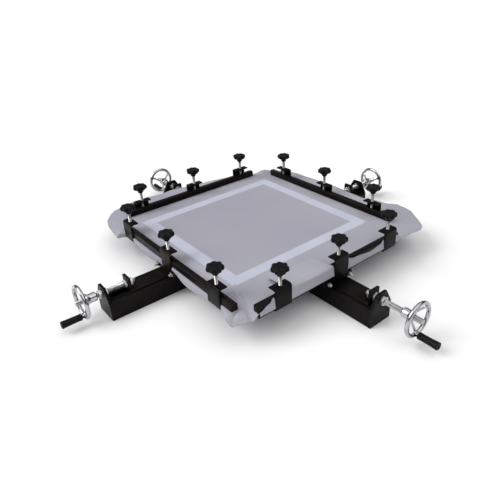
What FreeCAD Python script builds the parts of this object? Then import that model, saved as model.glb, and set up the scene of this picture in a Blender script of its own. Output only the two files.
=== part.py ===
import FreeCAD, Part
import math
import os

from FreeCAD import Rotation, Vector

# Four-sided stretching machine for screen printing mesh, with a screen frame and mesh in its jaws.
# Millimetres. +Z is up, the origin is on the floor under the middle of the crossed base.
# Every side is built as the front one, whose arm points to -Y, and is then turned about Z.
# In a side's own terms u runs along its jaw bars, v is the distance out from the middle and z is
# the height.

# ---- screen frame ----
FRAME_SIZE_X = 530.0
FRAME_SIZE_Y = 556.0
FRAME_RAIL = 39.0
FRAME_HEIGHT = 49.4         # stands on the base, its top carries the mesh
MESH_THICKNESS = 0.6

# ---- crossed base ----
BEAM_WIDTH = 82.0
BEAM_HEIGHT = 57.0
BEAM_WALL = 4.0
SLOT_WIDTH = 20.0           # guide slot along the top of each arm
SLOT_DEPTH = 8.0            # cuts through the beam's wall with room to spare
SLOT_BEFORE_ROW = 30.0      # slot's inner end, inward of the innermost jaw row
SLOT_TO_ARM_END = 12.0

# ---- where the jaw rows can stand ----
FRAME_TO_ROW = 48.0         # frame's longer side to the innermost place of a jaw row's middle
ROW_TO_ARM_END = 210.0      # from there to the arm's open end

# ---- jaws ----
BAR_WIDTH = 20.0
FRONT_BAR_PAST_FRAME = 80.0     # front and rear bars, longer than the frame by this much
SIDE_BAR_PAST_FRAME = 10.0      # left and right bars
LOWER_BAR_HEIGHT = 15.0
UPPER_BAR_HEIGHT = 21.4
BAR_EDGE = 3.0              # rounding of the upper bar's long edges
JAW_LIFT = 12.0             # how far the upper bar opens

# ---- clamp brackets ----
CLAMP_WIDTH = 56.0
CLAMP_STEEL = 4.0
CLAMP_LIP = 4.0             # how far the top flange reaches past the bar's inner side
CLAMP_SPARE = 9.0           # between the lifted upper bar and the flange

# ---- knobs ----
STUD_RADIUS = 5.0
STUD_SHOWING = 30.0         # thread between the bracket's top and the knob
KNOB_RADIUS = 25.0
KNOB_THICKNESS = 16.0
KNOB_LOBES = 7
KNOB_LOBE_RADIUS = 7.0
KNOB_NECK_HEIGHT = 12.0
KNOB_NECK_RADIUS = 9.0
KNOB_SHOULDER_RADIUS = 16.0

# ---- carriage ----
SLIDE_WIDTH = 60.0
SLIDE_THICKNESS = 4.0
SLIDE_INNER_REACH = 20.0    # slide plate inward of the jaw's middle
SLIDE_TO_BRACKET = 131.0    # jaw's middle to the screw bracket's inner face
BLOCK_WIDTH = 112.0         # cross block under the lower bar
BLOCK_DEPTH = 22.0
BLOCK_HEIGHT = 15.0
SCREW_BRACKET_WIDTH = 36.0
SCREW_BRACKET_RISE = 22.0   # above the screw's axis
BRACKET_STEEL = 8.0
GUIDE_LENGTH = 120.0
GUIDE_DEPTH = 6.0
GUIDE_INSET = 1.0           # guide's outer end, inward of the screw bracket's outer face
BOLT_RADIUS = 4.0
BOLT_OFFSET = 42.0
BOLT_TIP = 7.0

# ---- lead screw and handwheel ----
SCREW_RADIUS = 8.0
SCREW_RISE = 19.0           # axis above the beams
SCREW_STUB = 18.0           # end of the screw inward of the screw bracket
SCREW_TIP = 16.0            # end of the screw past the wheel's plane
HUB_LENGTH = 32.0
HUB_RADIUS = 14.0
WHEEL_DISH = 43.0           # hub's inner face to the rim's plane
WHEEL_RADIUS = 52.0
RIM_RADIUS = 6.0
SPOKES = 3
SPOKE_RADIUS = 5.0
GRIP_RADIUS = 11.0
GRIP_LENGTH = 57.0
GRIP_STANDOFF = 3.0         # rim's outer side to the grip
GRIP_BOSS_WALL = 1.0        # boss under the grip, larger than the rim's section
GRIP_PIN_RADIUS = 4.0
GRIP_PIN_HEAD = 6.0
GRIP_PIN_HEAD_LENGTH = 3.0
GRIP_PIN_RECESS = 1.0       # pin's head below the grip's end

# ---- nuts and washers ----
SCREW_NUT_FLATS = 24.0
SCREW_NUT_THICKNESS = 7.5
OUTER_NUT_THICKNESS = 11.0
WASHER_RADIUS = 14.5
WASHER_THICKNESS = 2.0
BOLT_NUT_FLATS = 13.0
BOLT_NUT_THICKNESS = 6.5

# ---- clearances ----
RUNNING_FIT = 0.06          # radial, every shaft in its hole
SLIDE_FIT = 0.3             # flat sliding faces
FACE_GAP = 0.1              # nut to bracket, where one turns against the other
STOP_GAP_INNER = 1.0        # hub to nut with the jaws right in
STOP_GAP_OUTER = 0.4        # nut to nut with the jaws right out
SOFT_GAP = 0.5              # mesh to the steel beside it
OVERRUN = 1.0               # how far a cutting shape passes the face that it cuts
BLEND = 1.0                 # how far joined shapes run into each other

# ---- mesh beyond the jaws ----
TAIL_DROP = 16.0            # hanging or turned-up mesh outside the bars
CORNER_ROUND = 60.0
SKIRT_GAP = 1.0             # stretched mesh to the jaw bars at their innermost place

# ---- heights that follow ----
BEAM_TOP = BEAM_HEIGHT
SLIDE_TOP = BEAM_TOP + SLIDE_THICKNESS
CLAMP_FLOOR = SLIDE_TOP + BLOCK_HEIGHT
LOWER_BAR_FLOOR = CLAMP_FLOOR + CLAMP_STEEL
CLAMP_PLANE = LOWER_BAR_FLOOR + LOWER_BAR_HEIGHT
UPPER_BAR_FLOOR = CLAMP_PLANE + MESH_THICKNESS
UPPER_BAR_TOP = UPPER_BAR_FLOOR + UPPER_BAR_HEIGHT
CLAMP_TOP = UPPER_BAR_TOP + JAW_LIFT + CLAMP_SPARE + CLAMP_STEEL
KNOB_FLOOR = CLAMP_TOP + STUD_SHOWING + KNOB_NECK_HEIGHT
FRAME_TOP = BEAM_TOP + FRAME_HEIGHT
SCREW_HEIGHT = BEAM_TOP + SCREW_RISE
SCREW_BRACKET_TOP = SCREW_HEIGHT + SCREW_BRACKET_RISE
BOLT_HEIGHT = (SLIDE_TOP + CLAMP_FLOOR) / 2

# ---- places out along an arm that follow ----
ROW_INNERMOST = max(FRAME_SIZE_X, FRAME_SIZE_Y) / 2 + FRAME_TO_ROW
ARM_LENGTH = ROW_INNERMOST + ROW_TO_ARM_END
SLOT_START = ROW_INNERMOST - SLOT_BEFORE_ROW
SLOT_END = ARM_LENGTH - SLOT_TO_ARM_END
END_BRACKET_OUT = ARM_LENGTH + BRACKET_STEEL
ROW_TRAVEL = (ROW_TO_ARM_END - SLIDE_TO_BRACKET - BRACKET_STEEL - FACE_GAP
              - 2 * SCREW_NUT_THICKNESS - STOP_GAP_OUTER)
FRONT_BAR = FRAME_SIZE_X + FRONT_BAR_PAST_FRAME
SIDE_BAR = FRAME_SIZE_Y + SIDE_BAR_PAST_FRAME

# ---- the same, from the middle of the jaw bars ----
CLAMP_INNER = BAR_WIDTH / 2 + SLIDE_FIT
CLAMP_OUTER = CLAMP_INNER + CLAMP_STEEL
SCREW_INNER_END = SLIDE_TO_BRACKET - SCREW_STUB
HUB_START = ROW_TO_ARM_END + BRACKET_STEEL + OUTER_NUT_THICKNESS + STOP_GAP_INNER
HUB_END = HUB_START + HUB_LENGTH
WHEEL_PLANE = HUB_START + WHEEL_DISH
SCREW_OUTER_END = WHEEL_PLANE + SCREW_TIP
GRIP_START = WHEEL_PLANE + RIM_RADIUS + GRIP_STANDOFF
GRIP_END = GRIP_START + GRIP_LENGTH
GRIP_PIN_HEAD_START = GRIP_END - GRIP_PIN_RECESS - GRIP_PIN_HEAD_LENGTH
RIM_CENTRE = WHEEL_RADIUS - RIM_RADIUS
GRIP_HEIGHT = SCREW_HEIGHT - RIM_CENTRE
SCREW_HOLE = SCREW_RADIUS + RUNNING_FIT


class Side:
    """One arm's own sizes: where its jaws stand and how its clamps and mesh are set."""

    def __init__(self, name, turn, wound_out, bar_length, bar_shift, first_clamp, last_clamp, tail):
        self.name = name
        self.turn = turn                      # degrees about Z from the front arm
        self.row = ROW_INNERMOST + wound_out * ROW_TRAVEL
        self.bar_start = bar_shift - bar_length / 2
        self.bar_end = bar_shift + bar_length / 2
        self.clamps = self.spaced(self.bar_start + first_clamp, self.bar_end - last_clamp)
        self.tail = tail

    @staticmethod
    def spaced(first, last):
        """Two outer clamps and one halfway between them."""
        return [first, (first + last) / 2, last]


# Each side: its turn, how far its carriage is wound out as a share of the travel, its bars' length
# and their shift along u, the outer clamps' distances from the bars' two ends, and how the mesh
# outside the bars lies.
SIDES = [
    Side("front", 0, 0.09, FRONT_BAR, 34.0, 41.0, 75.0, "hanging"),
    Side("right", 90, 0.99, SIDE_BAR, -12.0, 81.0, 45.0, "turned_up"),
    Side("rear", 180, 0.47, FRONT_BAR, 0.0, 83.0, 75.0, "spread"),
    Side("left", 270, 0.577, SIDE_BAR, 0.0, 57.0, 63.0, "spread"),
]

# Mesh that spreads out level behind a jaw: its reach in v past the row, and how far it passes the
# bars' two ends in u, where the loose corners of the mesh lie.
SPREAD = {"rear": (118.0, 91.0, -5.0), "left": (120.0, -13.0, 82.0)}


def block(u0, u1, v0, v1, z0, z1):
    return Part.makeBox(u1 - u0, v1 - v0, z1 - z0, Vector(u0, -v1, z0))


def rod_out(radius, v0, v1, u=0.0, z=SCREW_HEIGHT):
    """Cylinder whose axis points out along the arm."""
    return Part.makeCylinder(radius, v1 - v0, Vector(u, -v0, z), Vector(0, -1, 0))


def post(radius, u, v, z0, z1):
    return Part.makeCylinder(radius, z1 - z0, Vector(u, -v, z0), Vector(0, 0, 1))


def hex_out(flats, v0, v1, u=0.0, z=SCREW_HEIGHT):
    """Hexagonal prism whose axis points out along the arm."""
    corner = flats / math.sqrt(3)
    angles = [math.radians(60 * step) for step in range(7)]
    ring = [Vector(u + corner * math.cos(a), -v0, z + corner * math.sin(a)) for a in angles]
    return Part.Face(Part.makePolygon(ring)).extrude(Vector(0, v0 - v1, 0))


def plate(outline, thickness_vector):
    """Flat plate from a closed outline of points."""
    return Part.Face(Part.makePolygon(outline + outline[:1])).extrude(thickness_vector)


def bored(shape, v0, v1):
    """The shape with the screw's hole through it, from v0 to v1."""
    return shape.cut(rod_out(SCREW_HOLE, v0 - OVERRUN, v1 + OVERRUN))


def fuse(shapes):
    whole = shapes[0]
    for shape in shapes[1:]:
        whole = whole.fuse(shape)
    return whole.removeSplitter()


def save(name, shape, turn=0):
    shape = shape.copy()
    shape.rotate(Vector(0, 0, 0), Vector(0, 0, 1), turn)
    shape.exportStep("parts/" + name + ".step")


def group(shapes):
    return Part.makeCompound(shapes)


# ---- base and the frame that stands on it ----

def cross(half_width, reach, z0, z1):
    along_y = Part.makeBox(2 * half_width, 2 * reach, z1 - z0, Vector(-half_width, -reach, z0))
    along_x = Part.makeBox(2 * reach, 2 * half_width, z1 - z0, Vector(-reach, -half_width, z0))
    return along_y.fuse(along_x)


def cross_base():
    outside = cross(BEAM_WIDTH / 2, ARM_LENGTH, 0.0, BEAM_HEIGHT)
    inner_half = BEAM_WIDTH / 2 - BEAM_WALL
    inside = cross(inner_half, ARM_LENGTH + OVERRUN, BEAM_WALL, BEAM_HEIGHT - BEAM_WALL)
    base = outside.cut(inside)
    half = SLOT_WIDTH / 2
    for side in SIDES:
        slot = block(-half, half, SLOT_START, SLOT_END, BEAM_TOP - SLOT_DEPTH, BEAM_TOP + OVERRUN)
        slot.rotate(Vector(0, 0, 0), Vector(0, 0, 1), side.turn)
        base = base.cut(slot)
    return base.removeSplitter()


def end_bracket():
    """Plate over the arm's end that narrows upward and carries the screw's nuts."""
    half = BEAM_WIDTH / 2
    top = SCREW_BRACKET_WIDTH / 2
    outline = [(-half, 0.0), (half, 0.0), (half, BEAM_TOP), (top, SCREW_BRACKET_TOP),
               (-top, SCREW_BRACKET_TOP), (-half, BEAM_TOP)]
    points = [Vector(u, -ARM_LENGTH, z) for u, z in outline]
    body = plate(points, Vector(0, -BRACKET_STEEL, 0))
    return bored(body, ARM_LENGTH, END_BRACKET_OUT)


def feed_nuts():
    """The nuts that clamp each end bracket and hold the screw's thread."""
    solids = []
    for side in SIDES:
        inner_start = ARM_LENGTH - SCREW_NUT_THICKNESS
        outer_end = END_BRACKET_OUT + OUTER_NUT_THICKNESS
        pair = [
            bored(hex_out(SCREW_NUT_FLATS, inner_start, ARM_LENGTH), inner_start, ARM_LENGTH),
            bored(hex_out(SCREW_NUT_FLATS, END_BRACKET_OUT, outer_end), END_BRACKET_OUT, outer_end),
        ]
        for nut in pair:
            nut.rotate(Vector(0, 0, 0), Vector(0, 0, 1), side.turn)
            solids.append(nut)
    return group(solids)


def screen_frame():
    outer = Part.makeBox(FRAME_SIZE_X, FRAME_SIZE_Y, FRAME_HEIGHT,
                         Vector(-FRAME_SIZE_X / 2, -FRAME_SIZE_Y / 2, BEAM_TOP))
    inner_x = FRAME_SIZE_X - 2 * FRAME_RAIL
    inner_y = FRAME_SIZE_Y - 2 * FRAME_RAIL
    inner = Part.makeBox(inner_x, inner_y, FRAME_HEIGHT + 2 * OVERRUN,
                         Vector(-inner_x / 2, -inner_y / 2, BEAM_TOP - OVERRUN))
    return outer.cut(inner)


def rectangle(half_x, half_y, z):
    corners = [(-half_x, -half_y), (half_x, -half_y), (half_x, half_y), (-half_x, half_y)]
    points = [Vector(x, y, z) for x, y in corners]
    return Part.makePolygon(points + points[:1])


def mesh_panel():
    """Stretched mesh: level over the frame, then sloping down towards the four jaws."""
    reach = ROW_INNERMOST - BAR_WIDTH / 2 - SKIRT_GAP
    top = rectangle(FRAME_SIZE_X / 2, FRAME_SIZE_Y / 2, FRAME_TOP + MESH_THICKNESS)
    foot = rectangle(reach, reach, CLAMP_PLANE + 2 * MESH_THICKNESS)
    crown = Part.makeLoft([foot, top], True, True)
    under = crown.copy()
    under.translate(Vector(0, 0, -MESH_THICKNESS))
    return crown.cut(under)


# ---- one side's carriage ----

def carriage(side):
    row = side.row
    half = SLIDE_WIDTH / 2
    bracket_in = row + SLIDE_TO_BRACKET
    bracket_out = bracket_in + BRACKET_STEEL
    slide = block(-half, half, row - SLIDE_INNER_REACH, bracket_out, BEAM_TOP, SLIDE_TOP)
    cross_block = block(-BLOCK_WIDTH / 2, BLOCK_WIDTH / 2, row - BLOCK_DEPTH / 2,
                        row + BLOCK_DEPTH / 2, SLIDE_TOP, CLAMP_FLOOR)
    upright = block(-SCREW_BRACKET_WIDTH / 2, SCREW_BRACKET_WIDTH / 2, bracket_in, bracket_out,
                    SLIDE_TOP, SCREW_BRACKET_TOP)
    guide_half = SLOT_WIDTH / 2 - SLIDE_FIT
    guide_end = bracket_out - GUIDE_INSET
    guide = block(-guide_half, guide_half, guide_end - GUIDE_LENGTH, guide_end,
                  BEAM_TOP - GUIDE_DEPTH, BEAM_TOP)
    body = bored(fuse([slide, cross_block, upright, guide]), bracket_in, bracket_out)
    for u in (-BOLT_OFFSET, BOLT_OFFSET):
        reach = BLOCK_DEPTH / 2 + OVERRUN
        body = body.cut(rod_out(BOLT_RADIUS + RUNNING_FIT, row - reach, row + reach, u, BOLT_HEIGHT))
    return body


def carriage_bolts(side):
    """Two bolts through the cross block, each with its head inside and its nut outside."""
    solids = []
    inner = side.row - BLOCK_DEPTH / 2
    outer = side.row + BLOCK_DEPTH / 2
    nut_end = outer + BOLT_NUT_THICKNESS
    for u in (-BOLT_OFFSET, BOLT_OFFSET):
        head = hex_out(BOLT_NUT_FLATS, inner - BOLT_NUT_THICKNESS, inner, u, BOLT_HEIGHT)
        shank = rod_out(BOLT_RADIUS, inner - BLEND, nut_end + BOLT_TIP, u, BOLT_HEIGHT)
        nut = hex_out(BOLT_NUT_FLATS, outer, nut_end, u, BOLT_HEIGHT)
        nut = nut.cut(rod_out(BOLT_RADIUS + RUNNING_FIT, outer - OVERRUN, nut_end + OVERRUN, u,
                              BOLT_HEIGHT))
        solids += [fuse([head, shank]), nut]
    return group(solids)


def lower_jaw(side):
    half = BAR_WIDTH / 2
    return block(side.bar_start, side.bar_end, side.row - half, side.row + half,
                 LOWER_BAR_FLOOR, CLAMP_PLANE)


def clamp_brackets(side):
    """Three channel pieces that hold the two bars, each with a threaded hole for its stud."""
    solids = []
    for u in side.clamps:
        u0 = u - CLAMP_WIDTH / 2
        u1 = u + CLAMP_WIDTH / 2
        inner = side.row - BAR_WIDTH / 2
        outer = side.row + CLAMP_OUTER
        web = block(u0, u1, side.row + CLAMP_INNER, outer, CLAMP_FLOOR, CLAMP_TOP)
        foot = block(u0, u1, inner, outer, CLAMP_FLOOR, LOWER_BAR_FLOOR)
        flange = block(u0, u1, inner - CLAMP_LIP, outer, CLAMP_TOP - CLAMP_STEEL, CLAMP_TOP)
        channel = fuse([web, foot, flange])
        hole = post(STUD_RADIUS + RUNNING_FIT, u, side.row, CLAMP_TOP - CLAMP_STEEL - OVERRUN,
                    CLAMP_TOP + OVERRUN)
        solids.append(channel.cut(hole))
    return group(solids)


def upper_jaw(side):
    half = BAR_WIDTH / 2
    bar = block(side.bar_start, side.bar_end, side.row - half, side.row + half,
                UPPER_BAR_FLOOR, UPPER_BAR_TOP)
    top_edges = []
    for edge in bar.Edges:
        along = edge.BoundBox.XLength > BAR_WIDTH
        if along and edge.BoundBox.ZMin > UPPER_BAR_TOP - BAR_EDGE:
            top_edges.append(edge)
    return bar.makeFillet(min(BAR_EDGE, UPPER_BAR_HEIGHT / 3, BAR_WIDTH / 3), top_edges)


def knob(side, u):
    """Lobed knob on its threaded stud, which stands on the upper bar."""
    v = side.row
    core = post(KNOB_RADIUS - KNOB_LOBE_RADIUS, u, v, KNOB_FLOOR, KNOB_FLOOR + KNOB_THICKNESS)
    lobes = [core]
    for step in range(KNOB_LOBES):
        angle = 2 * math.pi * step / KNOB_LOBES
        reach = KNOB_RADIUS - KNOB_LOBE_RADIUS
        lobes.append(post(KNOB_LOBE_RADIUS, u + reach * math.cos(angle), v + reach * math.sin(angle),
                          KNOB_FLOOR, KNOB_FLOOR + KNOB_THICKNESS))
    neck = Part.makeCone(KNOB_NECK_RADIUS, KNOB_SHOULDER_RADIUS, KNOB_NECK_HEIGHT,
                         Vector(u, -v, KNOB_FLOOR - KNOB_NECK_HEIGHT), Vector(0, 0, 1))
    stud_top = KNOB_FLOOR + KNOB_THICKNESS / 2
    head = fuse(lobes + [neck])
    head = head.cut(post(STUD_RADIUS + RUNNING_FIT, u, v,
                         KNOB_FLOOR - KNOB_NECK_HEIGHT - OVERRUN, stud_top))
    stud = post(STUD_RADIUS, u, v, UPPER_BAR_TOP + FACE_GAP, stud_top)
    return group([head, stud])


# ---- lead screw and handwheel ----

def lead_screw(side):
    return rod_out(SCREW_RADIUS, side.row + SCREW_INNER_END, side.row + SCREW_OUTER_END)


def lock_nuts(side):
    """Nuts and washers that hold the screw endwise in the carriage's bracket."""
    inner_face = side.row + SLIDE_TO_BRACKET - FACE_GAP
    outer_face = side.row + SLIDE_TO_BRACKET + BRACKET_STEEL + FACE_GAP
    washer_in = inner_face - WASHER_THICKNESS
    nut_in = washer_in - SCREW_NUT_THICKNESS
    nut_out = outer_face + SCREW_NUT_THICKNESS
    return group([
        bored(rod_out(WASHER_RADIUS, washer_in, inner_face), washer_in, inner_face),
        bored(hex_out(SCREW_NUT_FLATS, nut_in, washer_in), nut_in, washer_in),
        bored(hex_out(SCREW_NUT_FLATS, outer_face, nut_out), outer_face, nut_out),
    ])


def wheel_point(side, radius, angle_deg, v):
    angle = math.radians(angle_deg)
    return Vector(radius * math.sin(angle), -(side.row + v), SCREW_HEIGHT - radius * math.cos(angle))


def spoke(side, angle_deg):
    start = wheel_point(side, HUB_RADIUS / 2, angle_deg, (HUB_START + HUB_END) / 2 + SPOKE_RADIUS)
    end = wheel_point(side, RIM_CENTRE, angle_deg, WHEEL_PLANE)
    run = end - start
    return Part.makeCylinder(SPOKE_RADIUS, run.Length, start, run)


def handwheel(side):
    """Dished wheel with three spokes, and the pin that its grip turns on."""
    row = side.row
    rim = Part.makeTorus(RIM_CENTRE, RIM_RADIUS, Vector(0, -(row + WHEEL_PLANE), SCREW_HEIGHT),
                         Vector(0, 1, 0))
    hub = rod_out(HUB_RADIUS, row + HUB_START, row + HUB_END)
    spokes = [spoke(side, 360.0 / SPOKES * step) for step in range(SPOKES)]
    boss = rod_out(RIM_RADIUS + GRIP_BOSS_WALL, row + WHEEL_PLANE - RIM_RADIUS,
                   row + GRIP_START - SLIDE_FIT, 0.0, GRIP_HEIGHT)
    wheel = bored(fuse([rim, hub] + spokes + [boss]), row + HUB_START, row + WHEEL_PLANE)
    wheel = wheel.cut(rod_out(GRIP_PIN_RADIUS + RUNNING_FIT, row + WHEEL_PLANE - RUNNING_FIT,
                              row + GRIP_START, 0.0, GRIP_HEIGHT))
    shank = rod_out(GRIP_PIN_RADIUS, row + WHEEL_PLANE, row + GRIP_PIN_HEAD_START + BLEND,
                    0.0, GRIP_HEIGHT)
    head = rod_out(GRIP_PIN_HEAD, row + GRIP_PIN_HEAD_START,
                   row + GRIP_PIN_HEAD_START + GRIP_PIN_HEAD_LENGTH, 0.0, GRIP_HEIGHT)
    return group([wheel, fuse([shank, head])])


def grip(side):
    """Revolving sleeve on the wheel's pin."""
    start = side.row + GRIP_START
    end = side.row + GRIP_END
    sleeve = rod_out(GRIP_RADIUS, start, end, 0.0, GRIP_HEIGHT)
    bore = rod_out(GRIP_PIN_RADIUS + RUNNING_FIT, start - OVERRUN, end + OVERRUN, 0.0, GRIP_HEIGHT)
    seat_start = side.row + GRIP_PIN_HEAD_START - SLIDE_FIT
    seat = rod_out(GRIP_PIN_HEAD + SLIDE_FIT, seat_start, end + OVERRUN, 0.0, GRIP_HEIGHT)
    return sleeve.cut(bore).cut(seat)


# ---- mesh in and beyond one side's jaws ----

def open_spans(side):
    """Stretches along the bars that no clamp bracket covers."""
    half = CLAMP_WIDTH / 2 + SOFT_GAP
    starts = [side.bar_start] + [u + half for u in side.clamps]
    ends = [u - half for u in side.clamps] + [side.bar_end]
    return list(zip(starts, ends))


def spread_tail(side):
    """Level mesh behind the jaw, with round outer corners."""
    reach, past_start, past_end = SPREAD[side.name]
    v0 = side.row + CLAMP_OUTER + SOFT_GAP
    sheet = block(side.bar_start - past_start, side.bar_end + past_end, v0, side.row + reach,
                  CLAMP_PLANE, UPPER_BAR_FLOOR)
    corners = []
    for edge in sheet.Edges:
        upright = edge.BoundBox.ZLength > MESH_THICKNESS / 2
        if upright and edge.BoundBox.YMax < -(side.row + reach) + OVERRUN:
            corners.append(edge)
    return sheet.makeFillet(CORNER_ROUND, corners)


def mesh_edge(side):
    """Mesh gripped between the bars, with what hangs, turns up or spreads outside them."""
    half = BAR_WIDTH / 2
    pieces = [block(side.bar_start, side.bar_end, side.row - half, side.row + half,
                    CLAMP_PLANE, UPPER_BAR_FLOOR)]
    wall_in = side.row + half + SOFT_GAP
    wall_out = wall_in + 2 * MESH_THICKNESS
    for u0, u1 in open_spans(side):
        lip_out = side.row + CLAMP_OUTER + SOFT_GAP if side.tail == "spread" else wall_out
        pieces.append(block(u0, u1, side.row, lip_out, CLAMP_PLANE, UPPER_BAR_FLOOR))
        if side.tail == "hanging":
            pieces.append(block(u0, u1, wall_in, wall_out, CLAMP_PLANE - TAIL_DROP, UPPER_BAR_FLOOR))
        if side.tail == "turned_up":
            pieces.append(block(u0, u1, wall_in, wall_out, CLAMP_PLANE, CLAMP_PLANE + TAIL_DROP))
    if side.tail == "spread":
        pieces.append(spread_tail(side))
    return fuse(pieces)


def build_side(side):
    pieces = {
        "carriage": carriage(side),
        "carriage_bolts": carriage_bolts(side),
        "lower_jaw": lower_jaw(side),
        "clamp_brackets": clamp_brackets(side),
        "mesh_edge": mesh_edge(side),
        "upper_jaw": upper_jaw(side),
        "lead_screw": lead_screw(side),
        "lock_nuts": lock_nuts(side),
        "handwheel": handwheel(side),
        "grip": grip(side),
        "end_bracket": end_bracket(),
    }
    for number, u in enumerate(side.clamps, start=1):
        pieces["knob_" + str(number)] = knob(side, u)
    for name, shape in pieces.items():
        save(side.name + "_" + name, shape, side.turn)


def build():
    os.makedirs("parts", exist_ok=True)
    save("cross_base", cross_base())
    save("feed_nuts", feed_nuts())
    save("screen_frame", screen_frame())
    save("mesh_panel", mesh_panel())
    for side in SIDES:
        build_side(side)


build()
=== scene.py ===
import math

import bmesh
import bpy
from mathutils import Matrix, Vector


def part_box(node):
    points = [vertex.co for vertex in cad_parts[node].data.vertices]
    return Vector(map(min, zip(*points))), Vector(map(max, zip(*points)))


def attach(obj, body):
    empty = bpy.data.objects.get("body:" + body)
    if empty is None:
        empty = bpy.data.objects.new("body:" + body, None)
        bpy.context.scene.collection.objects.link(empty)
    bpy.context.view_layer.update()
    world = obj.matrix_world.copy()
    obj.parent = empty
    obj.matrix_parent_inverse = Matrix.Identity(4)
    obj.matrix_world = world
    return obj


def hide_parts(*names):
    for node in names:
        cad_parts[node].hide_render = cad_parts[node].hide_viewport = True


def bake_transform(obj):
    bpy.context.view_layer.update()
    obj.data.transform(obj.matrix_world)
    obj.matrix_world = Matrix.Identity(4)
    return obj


# The looks of a four-sided stretching machine for screen printing mesh, built around its CAD frame.
# Metres. Each side is built as the front one, whose arm points to -Y, and is then turned about Z.
# In a side's own terms u runs along its jaw bars, v is the distance out from the middle and z is
# the height, so a point is (u, -v, z) before the turn.

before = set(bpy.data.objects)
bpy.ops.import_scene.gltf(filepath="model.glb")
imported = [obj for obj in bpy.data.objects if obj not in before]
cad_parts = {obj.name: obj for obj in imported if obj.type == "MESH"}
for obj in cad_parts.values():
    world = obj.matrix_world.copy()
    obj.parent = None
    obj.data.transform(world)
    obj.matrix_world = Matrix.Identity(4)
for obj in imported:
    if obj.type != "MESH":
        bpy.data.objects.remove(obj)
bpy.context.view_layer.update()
MM = 0.001

# ---- camera ----
CAMERA_PLACE = Vector((1.1467, -0.8791, 0.8424))
CAMERA_AZIMUTH = 51.665
CAMERA_ELEVATION = 29.755
CAMERA_ROLL = -2.603
CAMERA_LENS = 34.48
CAMERA_SENSOR = 36.0
CAMERA_SHIFT = (-0.0197, -0.0105)


# ---------------------------------------------------------------- materials

def new_material(name):
    material = bpy.data.materials.new(name)
    material.use_nodes = True
    tree = material.node_tree
    return material, tree, tree.nodes["Principled BSDF"]


def add_node(tree, kind, **values):
    made = tree.nodes.new(kind)
    for key, value in values.items():
        if key in made.inputs:
            made.inputs[key].default_value = value
        else:
            setattr(made, key, value)
    return made


def place_of(tree):
    """The point on the object, in metres."""
    return add_node(tree, "ShaderNodeTexCoord").outputs["Object"]


def noise(tree, scale, detail=3.0, place=None):
    made = add_node(tree, "ShaderNodeTexNoise", Scale=scale, Detail=detail)
    tree.links.new(place or place_of(tree), made.inputs["Vector"])
    return made.outputs["Fac"]


def ramp(tree, factor, stops):
    """Colour that runs through the stops as factor goes from 0 to 1."""
    made = tree.nodes.new("ShaderNodeValToRGB")
    elements = made.color_ramp.elements
    while len(elements) < len(stops):
        elements.new(0.5)
    for element, (position, colour) in zip(elements, stops):
        element.position = position
        element.color = colour if len(colour) == 4 else (*colour, 1.0)
    tree.links.new(factor, made.inputs["Fac"])
    return made.outputs["Color"]


def grey_ramp(tree, factor, stops):
    return ramp(tree, factor, [(position, (value, value, value)) for position, value in stops])


def mix_colour(tree, factor, first, second, blend_type="MIX"):
    made = add_node(tree, "ShaderNodeMix", data_type="RGBA", blend_type=blend_type)
    sockets = {socket.identifier: socket for socket in made.inputs}
    for socket, value in (("Factor_Float", factor), ("A_Color", first), ("B_Color", second)):
        if isinstance(value, bpy.types.NodeSocket):
            tree.links.new(value, sockets[socket])
        else:
            sockets[socket].default_value = value
    return [socket for socket in made.outputs if socket.identifier == "Result_Color"][0]


def maths(tree, operation, first, second=0.0):
    made = add_node(tree, "ShaderNodeMath", operation=operation)
    for socket, value in zip(made.inputs, (first, second)):
        if isinstance(value, bpy.types.NodeSocket):
            tree.links.new(value, socket)
        else:
            socket.default_value = value
    return made.outputs["Value"]


def bump(tree, shader, height, distance, strength=1.0):
    made = add_node(tree, "ShaderNodeBump", Strength=strength, Distance=distance)
    tree.links.new(height, made.inputs["Height"])
    tree.links.new(made.outputs["Normal"], shader.inputs["Normal"])


def black_paint():
    """Semi-gloss black paint on steel: a faint brown cast in patches, dust, and worn edges."""
    material, tree, shader = new_material("black_paint")
    patches = ramp(tree, noise(tree, 14.0, 5.0),
                   [(0.38, (0.0015, 0.0015, 0.002)), (0.66, (0.007, 0.0045, 0.0035))])
    edges = grey_ramp(tree, add_node(tree, "ShaderNodeNewGeometry").outputs["Pointiness"],
                      [(0.53, 0.0), (0.62, 0.4)])
    wear = maths(tree, "MULTIPLY", edges, noise(tree, 60.0, 4.0))
    colour = mix_colour(tree, wear, patches, (0.034, 0.03, 0.028, 1.0))
    tree.links.new(colour, shader.inputs["Base Color"])
    rough = grey_ramp(tree, noise(tree, 35.0, 4.0), [(0.3, 0.30), (0.7, 0.46)])
    tree.links.new(rough, shader.inputs["Roughness"])
    shader.inputs["Specular IOR Level"].default_value = 0.09
    bump(tree, shader, noise(tree, 900.0, 2.0), 0.00012, 0.6)
    return material


def zinc_steel():
    """Bright zinc plate with a little dulling."""
    material, tree, shader = new_material("zinc_steel")
    colour = ramp(tree, noise(tree, 90.0, 4.0), [(0.3, (0.36, 0.36, 0.355)), (0.7, (0.60, 0.60, 0.60))])
    tree.links.new(colour, shader.inputs["Base Color"])
    shader.inputs["Metallic"].default_value = 1.0
    rough = grey_ramp(tree, noise(tree, 140.0, 4.0), [(0.3, 0.2), (0.7, 0.38)])
    tree.links.new(rough, shader.inputs["Roughness"])
    bump(tree, shader, noise(tree, 1400.0, 2.0), 0.00005, 0.4)
    return material


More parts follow.
